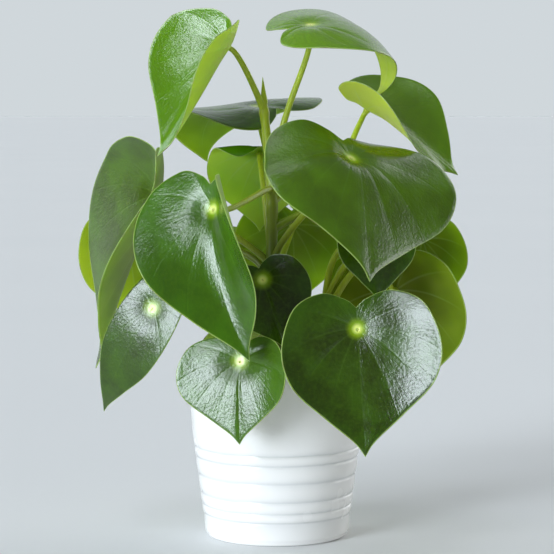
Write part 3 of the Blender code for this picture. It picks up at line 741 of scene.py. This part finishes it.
def build_leaf(leaf, number):
    """One blade as a closed thin sheet: upper side, underside and a rounded margin between them."""
    draw = np.random.default_rng(LEAF_SEED + number)
    edge = outline(leaf, BLADE_SPOKES)
    shares = (np.arange(1, BLADE_RINGS + 1) / BLADE_RINGS) ** RING_CROWDING
    flat = np.vstack([np.zeros((1, 2))] + [edge * share for share in shares])
    share = np.concatenate(((0.0,), np.repeat(shares, BLADE_SPOKES)))
    spoke = np.concatenate(((0.0,), np.tile(np.arange(BLADE_SPOKES), BLADE_RINGS)))
    x, y = flat.T
    up = normals(leaf, x, y)
    middle = bent(leaf, x, y) + up * margin_wave(leaf, share, spoke, draw)[:, None]
    half = (EDGE_THICKNESS + (BLADE_THICKNESS - EDGE_THICKNESS) * smooth_step(*EDGE_TAPER, share)) / 2
    middle = middle + up * bowl(x, y, leaf.bowl)[:, None]
    relief = quilting(x, y, share, draw.uniform(*CREASE_DEPTHS, VEIN_COUNT) ** 2 / CREASE_DEPTHS[1])
    upper = middle + up * (half + relief)[:, None]
    under = middle + up * (UNDER_RELIEF * relief - half)[:, None]
    count = len(flat)
    last = count - BLADE_SPOKES
    outward = unit(middle[last:] - middle[last - BLADE_SPOKES : last])
    rim = []
    for step in range(1, RIM_STEPS):
        angle = math.pi * step / RIM_STEPS
        rim.append(
            (upper[last:] + under[last:]) / 2
            + (up[last:] * math.cos(angle) + outward * math.sin(angle)) * half[last:, None]
        )
    points = np.vstack([upper, under, *rim])
    faces, finish = blade_faces(count)
    plan = np.column_stack((x, y, share))
    plan = np.vstack([plan, plan] + [plan[last:]] * (RIM_STEPS - 1))
    looks = {
        "plan": plan,
        "tone": np.full(len(points), leaf.tone),
        "yellow": np.full(len(points), leaf.yellow),
    }
    piece = add_piece(f"{leaf.name}_blade", points, faces, (UPPER, UNDER, MARGIN), finish, looks)
    dress(piece, "leaf", leaf.name)


def blade_faces(count):
    """Faces of the upper side, of the underside and of the margin, with each face's material."""
    spokes = BLADE_SPOKES
    fan = [(0, 1 + (spoke + 1) % spokes, 1 + spoke) for spoke in range(spokes)]
    sheet = fan + [tuple(reversed(face)) for face in rings_to_faces(1, BLADE_RINGS, spokes)]
    upper = [tuple(reversed(face)) for face in sheet]
    under = [tuple(corner + count for corner in face) for face in sheet]
    last = count - spokes
    loops = [last] + [2 * count + step * spokes for step in range(RIM_STEPS - 1)] + [last + count]
    rim = []
    for above, below in zip(loops, loops[1:]):
        for spoke in range(spokes):
            following = (spoke + 1) % spokes
            rim.append((above + spoke, above + following, below + following, below + spoke))
    finish = [0] * len(upper) + [1] * len(under) + [2] * len(rim)
    return upper + under + rim, finish


# The stems.


def stem_point(stem, height):
    """The point of a stem's middle line at a height above the surface."""
    line = spline(stem.points, np.linspace(0, 1, STEM_SAMPLES))
    return np.array([np.interp(height, line[:, 2], line[:, axis]) for axis in range(3)])


def petiole_line(leaf):
    """From inside the stem, up and out in one bow, into the lower half of the sunken blade at its spot."""
    start = stem_point(STEMS[leaf.stem], leaf.height)
    under = -axes_of(leaf)[2]
    end = np.array(leaf.spot) + under * (leaf.bowl + PETIOLE_SINK * BLADE_THICKNESS)
    last = end + under * (PETIOLE_NECK + BLADE_THICKNESS)
    if leaf.via:
        line = spline((start, *leaf.via, last), np.linspace(0, 1, PETIOLE_POINTS))
    else:
        span = np.linalg.norm(last - start)
        bow = start + np.array((0, 0, 1.0)) * span * leaf.rise
        turn = last + under * span * PETIOLE_TURN
        t = np.linspace(0, 1, PETIOLE_POINTS)[:, None]
        line = (1 - t) ** 3 * start + 3 * (1 - t) ** 2 * t * bow + 3 * (1 - t) * t**2 * turn + t**3 * last
    neck = [last + (end - last) * share for share in NECK_SHARES]
    return np.vstack((line, neck))


def petiole_radii(count):
    """A sheath that hugs the stem at the foot, a slim run, and a short flare where the blade begins."""
    shares = np.linspace(0, 1, count)
    slim = PETIOLE_FOOT_RADIUS + (PETIOLE_TOP_RADIUS - PETIOLE_FOOT_RADIUS) * shares
    sheath = SHEATH_SWELL * np.exp(-((shares / SHEATH_SHARE) ** 2))
    flare = FLARE_SWELL * np.exp(-(((1 - shares) / FLARE_SHARE) ** 2))
    return slim + sheath + flare


def stem_radii(name, stem, line):
    """A slow taper with a ring of swelling at each leaf's node."""
    nodes = [leaf.height for leaf in LEAVES if leaf.stem == name]
    shares = np.linspace(0, 1, len(line))
    radii = stem.foot_radius + (stem.top_radius - stem.foot_radius) * shares
    for node in nodes:
        radii += NODE_SWELL * np.exp(-(((line[:, 2] - node) / NODE_REACH) ** 2))
    return radii


def build_stems():
    """Each stem with all its petioles as one piece. A point's plan holds its youth, from 0 at the stem's foot
    to 1 at a blade, and how red it is."""
    for name, stem in STEMS.items():
        points, faces, plans = [], [], []

        def add(line, radii, sides, along, blush):
            first = sum(len(some) for some in points)
            new_points, new_faces = tube(line, radii, sides)
            points.append(new_points)
            faces.extend(tuple(corner + first for corner in face) for face in new_faces)
            redness = np.full(len(new_points), blush)
            plans.append(np.column_stack((np.repeat(along, sides), redness, np.zeros(len(new_points)))))

        x, y, _ = stem.points[0]
        root = ((x, y, SOIL_TOP - STEM_ROOT_DEPTH),)
        line = np.vstack((root, spline(stem.points, np.linspace(0, 1, STEM_POINTS))))
        youth = np.linspace(0.0, STEM_TOP_YOUTH, len(line))
        add(line, stem_radii(name, stem, line), STEM_SIDES, youth, STEM_BLUSH)
        for leaf in LEAVES:
            if leaf.stem == name:
                line = petiole_line(leaf)
                foot = STEM_TOP_YOUTH * (leaf.height - SOIL_TOP) / (stem.points[-1][2] - SOIL_TOP)
                youth = np.linspace(foot, 1.0, len(line))
                add(line, petiole_radii(len(line)), PETIOLE_SIDES, youth, leaf.blush)
        if name == "main":
            shares = np.linspace(0, 1, BUD_POINTS)
            widths = np.interp(shares, *zip(*BUD_SHAPE))
            youth = np.full(BUD_POINTS, BUD_YOUTH)
            add(spline(BUD_LINE, shares), widths * BUD_RADIUS, PETIOLE_SIDES, youth, 0.0)
        looks = {"plan": np.vstack(plans)}
        piece = add_piece(f"stem_{name}_stalks", np.vstack(points), faces, (STALK,), attributes=looks)
        dress(piece, "stem", f"stem_{name}")


# The pot and its soil.


def groove_bottom(height):
    """The pot's radius at the bottom of a groove at that height."""
    return GROOVE_BOTTOM_AT_FOOT + GROOVE_BOTTOM_SLOPE * height


def inner_radius(height):
    """The inside wall is a plain cone from the rim to the floor."""
    top = POT_RIM_RADIUS - POT_WALL
    bottom = POT_FOOT_RADIUS - POT_WALL
    share = (height - POT_FLOOR) / (POT_HEIGHT - RIM_INSET - POT_FLOOR)
    return bottom + (top - bottom) * share


def pot_profile():
    """Rows of radius, height and how deep in a groove, which is the mask of the painted shade in the grooves,
    up the outside from the foot and down the inside.
    """
    rows = [(0.0, 0.0, 0.0), (0.5 * POT_FOOT_RADIUS, 0.0, 0.0)]
    for step in range(FOOT_STEPS + 1):
        angle = 0.5 * math.pi * step / FOOT_STEPS
        radius = POT_FOOT_RADIUS - FOOT_ROUNDING + FOOT_ROUNDING * math.sin(angle)
        rows.append((radius, FOOT_ROUNDING * (1 - math.cos(angle)), 0.0))
    edges = (FOOT_ROUNDING, *GROOVE_HEIGHTS)
    for number, (low, high) in enumerate(zip(edges, edges[1:])):
        for step in range(1, BAND_STEPS + 1):
            share = step / BAND_STEPS
            height = low + share * (high - low)
            swell = math.sin(math.pi * (0.5 + share / 2 if number == 0 else share))
            swell = max(swell, 0.0) ** BAND_ROUNDNESS
            rows.append((groove_bottom(height) + BAND_SWELL * swell, height, 1 - swell))
    top = GROOVE_HEIGHTS[-1]
    for step in range(1, TOP_BAND_STEPS + 1):
        share = step / TOP_BAND_STEPS
        height = top + TOP_BAND_RISE * share
        swell = math.sin(0.5 * math.pi * share) ** BAND_ROUNDNESS
        rows.append((groove_bottom(height) + BAND_SWELL * swell, height, 1 - swell))
    body_foot = rows[-1]
    rim, wall = POT_RIM_RADIUS, POT_WALL
    for share in np.linspace(0, 1, BODY_STEPS + 1)[1:]:
        height = body_foot[1] + share * (POT_HEIGHT - 0.5 * wall - body_foot[1])
        rows.append((body_foot[0] + (rim - body_foot[0]) * share, height, 0.0))
    for step in range(1, RIM_TURN_STEPS + 1):
        angle = math.pi * step / RIM_TURN_STEPS
        radius = rim - 0.5 * wall + 0.5 * wall * math.cos(angle)
        rows.append((radius, POT_HEIGHT - 0.5 * wall + 0.5 * wall * math.sin(angle), 0.0))
    for height in np.linspace(POT_HEIGHT - INSIDE_TOP_DROP, POT_FLOOR + FLOOR_CORNER, INSIDE_STEPS):
        rows.append((inner_radius(height), height, 0.0))
    rows += [(inner_radius(POT_FLOOR) - FLOOR_CORNER, POT_FLOOR, 0.0), (0.0, POT_FLOOR, 0.0)]
    return np.array(rows)


def ring_points(radius, height, angles):
    return np.column_stack((radius * np.cos(angles), radius * np.sin(angles), np.full(len(angles), height)))


def build_pot():
    """The profile turned round the upright axis, as one closed skin."""
    profile = pot_profile()
    inner = profile[1:-1]
    angles = np.linspace(0, math.tau, POT_SEGMENTS, endpoint=False)
    rings = [ring_points(radius, height, angles) for radius, height, _ in inner]
    points = np.vstack([*rings, profile[:1, (0, 0, 1)], profile[-1:, (0, 0, 1)]])
    faces = rings_to_faces(0, len(inner), POT_SEGMENTS)
    foot, floor, last = len(points) - 2, len(points) - 1, (len(inner) - 1) * POT_SEGMENTS
    for side in range(POT_SEGMENTS):
        following = (side + 1) % POT_SEGMENTS
        faces.append((foot, following, side))
        faces.append((floor, last + side, last + following))
    # How deep each point lies in a groove: the mask for the glaze's painted shade in the grooves.
    depth = np.concatenate((np.repeat(inner[:, 2], POT_SEGMENTS), (0.0, 0.0)))
    piece = add_piece("pot_glazed", points, faces, (GLAZE,), attributes={"groove": depth})
    dress(piece, "glaze", "pot")


def soil_height(x, y):
    """The gently mounded and lumpy top of the soil."""
    reach = np.hypot(x, y) / inner_radius(SOIL_TOP)
    lumps = LUMP_HEIGHT * np.sin(260 * x + 1.3) * np.cos(230 * y + 0.4)
    grain = GRAIN_HEIGHT * np.sin(900 * x + 3 * np.sin(500 * y)) * np.sin(1100 * y + 2 * np.cos(600 * x))
    return SOIL_TOP - SOIL_MOUND * reach**2 + lumps + grain


def crumb_shape():
    """Points and faces of a small round lump."""
    phi = (1 + math.sqrt(5)) / 2
    points = [(-1, phi, 0), (1, phi, 0), (-1, -phi, 0), (1, -phi, 0), (0, -1, phi), (0, 1, phi)]
    points += [(0, -1, -phi), (0, 1, -phi), (phi, 0, -1), (phi, 0, 1), (-phi, 0, -1), (-phi, 0, 1)]
    faces = [(0, 11, 5), (0, 5, 1), (0, 1, 7), (0, 7, 10), (0, 10, 11), (1, 5, 9), (5, 11, 4), (11, 10, 2)]
    faces += [(10, 7, 6), (7, 1, 8), (3, 9, 4), (3, 4, 2), (3, 2, 6), (3, 6, 8), (3, 8, 9), (4, 9, 5)]
    faces += [(2, 4, 11), (6, 2, 10), (8, 6, 7), (9, 8, 1)]
    return unit(np.array(points, float)), faces


def build_soil():
    """A rough mound with loose crumbs on it."""
    edge = inner_radius(SOIL_TOP - SOIL_MOUND) - SOIL_EDGE_GAP
    angles = np.linspace(0, math.tau, SOIL_SPOKES, endpoint=False)
    radii = edge * np.arange(1, SOIL_RINGS + 1) / SOIL_RINGS
    x = np.concatenate(((0.0,), np.outer(radii, np.cos(angles)).ravel()))
    y = np.concatenate(((0.0,), np.outer(radii, np.sin(angles)).ravel()))
    top = np.column_stack((x, y, soil_height(x, y)))
    floor = POT_FLOOR + SOIL_FLOOR_GAP
    bottom = ring_points(inner_radius(floor) - SOIL_FOOT_INSET, floor, angles)
    points = [top, bottom]
    faces = [(0, 1 + side, 1 + (side + 1) % SOIL_SPOKES) for side in range(SOIL_SPOKES)]
    faces += [tuple(reversed(face)) for face in rings_to_faces(1, SOIL_RINGS + 1, SOIL_SPOKES)]
    faces.append(tuple(reversed(range(len(top), len(top) + SOIL_SPOKES))))
    shades = [np.zeros(len(top) + SOIL_SPOKES)]
    ball, ball_faces = crumb_shape()
    draw = np.random.default_rng(CRUMB_SEED)
    for _ in range(CRUMB_COUNT):
        reach = (edge - CRUMB_EDGE_GAP) * math.sqrt(draw.random())
        angle = draw.uniform(0, math.tau)
        size = draw.uniform(*CRUMB_SIZES) * draw.uniform(*CRUMB_SHRINK)
        place = np.array((reach * math.cos(angle), reach * math.sin(angle), 0.0))
        place[2] = soil_height(place[0], place[1]) + CRUMB_LIFT * size
        lump = ball * size * draw.uniform(*CRUMB_SQUASH, 3) * draw.uniform(*CRUMB_DENTS, (len(ball), 1))
        first = sum(len(some) for some in points)
        points.append(lump + place)
        faces += [tuple(corner + first for corner in face) for face in ball_faces]
        shades.append(np.full(len(ball), draw.random() ** 2))
    looks = {"shade": np.concatenate(shades)}
    piece = add_piece("soil_crumbs", np.vstack(points), faces, (EARTH,), attributes=looks)
    dress(piece, "soil", "soil")


# The stage, the light and the camera.


def floor_finish(graph):
    """A plain pale floor that isn't quite even."""
    place = graph.node("ShaderNodeNewGeometry").outputs["Position"]
    clouds = graph.noise(place, 1.5, 2.0)
    return {
        "Base Color": graph.mix(clouds, colour(0.79, 0.80, 0.81), colour(0.83, 0.835, 0.84)),
        "Roughness": 0.6,
    }


def build_stage():
    size = FLOOR_HALF_SIZE
    points = [(-size, -size, 0.0), (size, -size, 0.0), (size, size, 0.0), (-size, size, 0.0)]
    floor = add_piece("floor", points, [(0, 1, 2, 3)], (new_material("pale floor", floor_finish),))


def patch(graph, azimuth, elevation, middle, half, radiance, tint):
    """One bright soft-edged patch of the room. Angles are in degrees: azimuth from the front towards +X."""
    edges = []
    for angle, centre, reach in ((azimuth, middle[0], half[0]), (elevation, middle[1], half[1])):
        off = graph.math("ABSOLUTE", graph.math("SUBTRACT", angle, math.radians(centre)))
        bright, gone = (math.radians(reach * share) for share in WINDOW_FADE)
        edges.append(graph.ramp(off, gone, bright))
    share = graph.math("MULTIPLY", *edges)
    return graph.mix(share, colour(0.0, 0.0, 0.0), colour(*(radiance * part for part in tint)))


def build_room():
    """Bright windows at the front left, dimmer ones at the sides and behind, a pale wall behind, a pale
    ceiling, and a dim room on the viewer's side, so that the leaves keep their depth of colour."""
    world = bpy.data.worlds.new("room")
    world.use_nodes = True
    graph = Graph(world.node_tree)
    way = graph.node("ShaderNodeTexCoord").outputs["Generated"]
    split = graph.node("ShaderNodeSeparateXYZ", {"Vector": way}).outputs
    azimuth = graph.math("ARCTAN2", split[0], graph.math("MULTIPLY", split[1], -1.0))
    elevation = graph.math("ARCSINE", split[2])
    backwards = graph.ramp(split[1], -0.1, 0.6)
    room = graph.mix(backwards, colour(*ROOM_FRONT), colour(*ROOM_BACK))
    room = graph.mix(graph.ramp(split[2], 0.45, 0.85), room, colour(*ROOM_TOP))
    room = graph.mix(graph.ramp(split[2], 0.95, 0.995), room, colour(*CEILING))
    for window in WINDOWS:
        room = graph.mix(1.0, room, patch(graph, azimuth, elevation, *window), blend="ADD")
    back = graph.node("ShaderNodeBackground", {"Color": room, "Strength": 1.0})
    graph.node("ShaderNodeOutputWorld", {"Surface": back.outputs[0]})
    bpy.context.scene.world = world


def build_camera():
    """The photograph's camera: level from side to side and looking a little down."""
    data = bpy.data.cameras.new("camera")
    data.sensor_width = SENSOR_WIDTH
    data.lens = FOCAL_PIXELS / PICTURE_WIDTH * SENSOR_WIDTH
    camera = bpy.data.objects.new("camera", data)
    bpy.context.scene.collection.objects.link(camera)
    camera.location = CAMERA_PLACE
    camera.rotation_euler = (math.radians(90 + CAMERA_PITCH), 0.0, 0.0)
    bpy.context.scene.camera = camera


def main():
    build_pot()
    build_soil()
    build_stems()
    for number, leaf in enumerate(LEAVES):
        build_leaf(leaf, number)
    build_stage()
    build_room()
    build_camera()
    bpy.context.scene.view_settings.view_transform = "Standard"


main()
